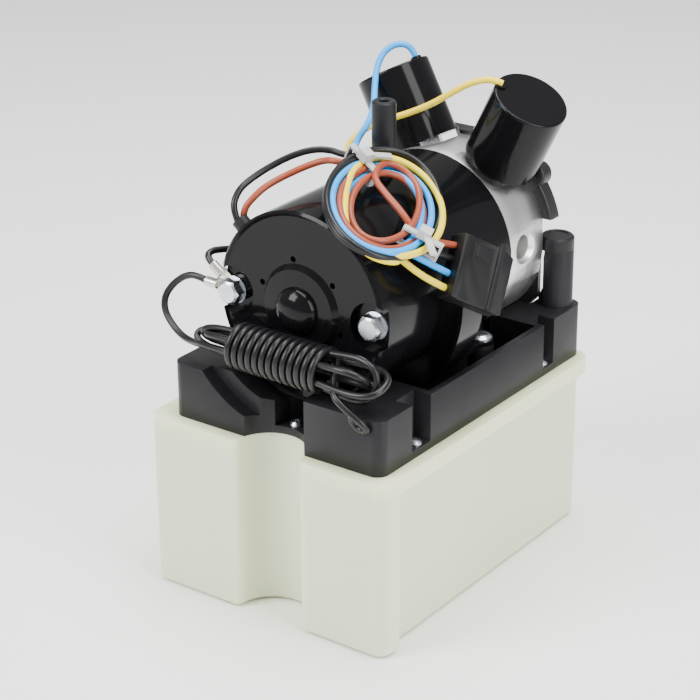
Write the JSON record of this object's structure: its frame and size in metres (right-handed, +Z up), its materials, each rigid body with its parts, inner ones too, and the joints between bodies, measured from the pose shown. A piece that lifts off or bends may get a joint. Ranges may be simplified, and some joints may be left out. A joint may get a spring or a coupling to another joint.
{
  "type": "hydraulic power unit",
  "caption": "Compact 12 V hydraulic power unit: DC motor and gear pump on a translucent oil reservoir, with two solenoid valves, filler neck and coiled wiring.",
  "frame": {"origin": "centre of the reservoir's underside, below the motor's axis", "axes": "+Z up, -Y towards the motor's end cap (front), +X right; the motor's axis runs along Y"},
  "size_m": [0.1255, 0.1485, 0.1964],
  "materials": {
    "tank_plastic": "milky translucent, satin",
    "cover_plastic": "satin moulded",
    "rubber": "matt",
    "zinc_steel": "zinc plated",
    "black_paint": "gloss",
    "black_plate": "satin",
    "tinned": "tin plated",
    "ferrite": "matt",
    "lamination": "satin",
    "copper": "enamelled or bright",
    "phenolic": "matt",
    "carbon": "matt",
    "spring_steel": "bright",
    "machined_steel": "ground",
    "bronze": "satin",
    "pump_aluminium": "turned",
    "nylon": "satin",
    "connector_plastic": "satin",
    "tie_white": "satin",
    "wire_mixed": "satin",
    "cable_black": "satin",
    "insulation_blue": "satin",
    "insulation_yellow": "satin",
    "insulation_brown": "satin"
  },
  "bodies": {
    "unit": {"tank": "tank_plastic", "tank_gasket": "rubber", "cover": "cover_plastic", "cover_screws": "zinc_steel", "end_cap": "black_paint", "motor_grommet": "rubber", "power_terminal": "tinned", "jumper_terminal": "tinned", "motor_can": "black_paint", "magnets": "ferrite", "brush_plate": "phenolic", "brushes": "carbon", "brush_springs": "spring_steel", "through_bolts": "zinc_steel", "front_bush": "bronze", "rear_bush": "bronze", "saddle": "black_paint", "saddle_screws": "zinc_steel", "pump_body": "pump_aluminium", "pump_screws": "zinc_steel", "shaft_seal": "rubber", "gear_pin": "machined_steel", "rear_plate": "black_plate", "rear_plate_screws": "zinc_steel", "relief_spring": "spring_steel", "relief_plug": "zinc_steel", "suction_tube": "nylon", "suction_strainer": "nylon", "solenoid_can_left": "black_paint", "solenoid_can_right": "black_paint", "solenoid_coil_left": "copper", "solenoid_coil_right": "copper", "valve_stem_left": "machined_steel", "valve_stem_right": "machined_steel", "plunger_spring_left": "spring_steel", "plunger_spring_right": "spring_steel", "vent_tube": "cover_plastic", "connector": "connector_plastic", "harness_coil": "wire_mixed", "cable_ties": "tie_white", "power_hank": "cable_black", "wire_blue": "insulation_blue", "wire_yellow": "insulation_yellow", "wire_brown": "insulation_brown", "wire_black": "cable_black", "harness_leads": "wire_mixed", "power_cable": "cable_black", "jumper_wire": "cable_black"},
    "armature": {"motor_shaft": "machined_steel", "armature_core": "lamination", "armature_windings": "copper", "commutator": "copper", "drive_gear": "machined_steel"},
    "driven_gear": {"driven_gear": "machined_steel"},
    "plunger_left": {"plunger_left": "machined_steel"},
    "plunger_right": {"plunger_right": "machined_steel"},
    "relief_poppet": {"relief_poppet": "machined_steel"},
    "filler_cap": {"filler_cap": "cover_plastic"}
  },
  "joints": [
    {"name": "armature_spin", "type": "hinge", "parent": "unit", "child": "armature", "pos_m": [0, 0, 0.122], "axis": [0, 1, 0], "continuous": true},
    {"name": "driven_gear_spin", "type": "hinge", "parent": "unit", "child": "driven_gear", "pos_m": [0, 0, 0.101], "axis": [0, 1, 0], "continuous": true},
    {"name": "plunger_left_lift", "type": "slide", "parent": "unit", "child": "plunger_left", "axis": [-0.5003, 0.0526, 0.8643], "range_m": [0, 0.003], "stiffness_N_per_m": 600, "springref_m": -0.004, "deforming": ["plunger_spring_left"]},
    {"name": "plunger_right_lift", "type": "slide", "parent": "unit", "child": "plunger_right", "axis": [0.4724, -0.1091, 0.8746], "range_m": [0, 0.003], "stiffness_N_per_m": 600, "springref_m": -0.004, "deforming": ["plunger_spring_right"]},
    {"name": "relief_lift", "type": "slide", "parent": "unit", "child": "relief_poppet", "axis": [-1, 0, 0], "range_m": [0, 0.0025], "stiffness_N_per_m": 8000, "springref_m": -0.002, "deforming": ["relief_spring"]},
    {"name": "filler_cap_pull", "type": "slide", "parent": "unit", "child": "filler_cap", "axis": [0, 0, 1], "range_m": [0, 0.007]}
  ],
  "couplings": [
    {"joint": "driven_gear_spin", "follows": "armature_spin", "ratio": -1}
  ]
}
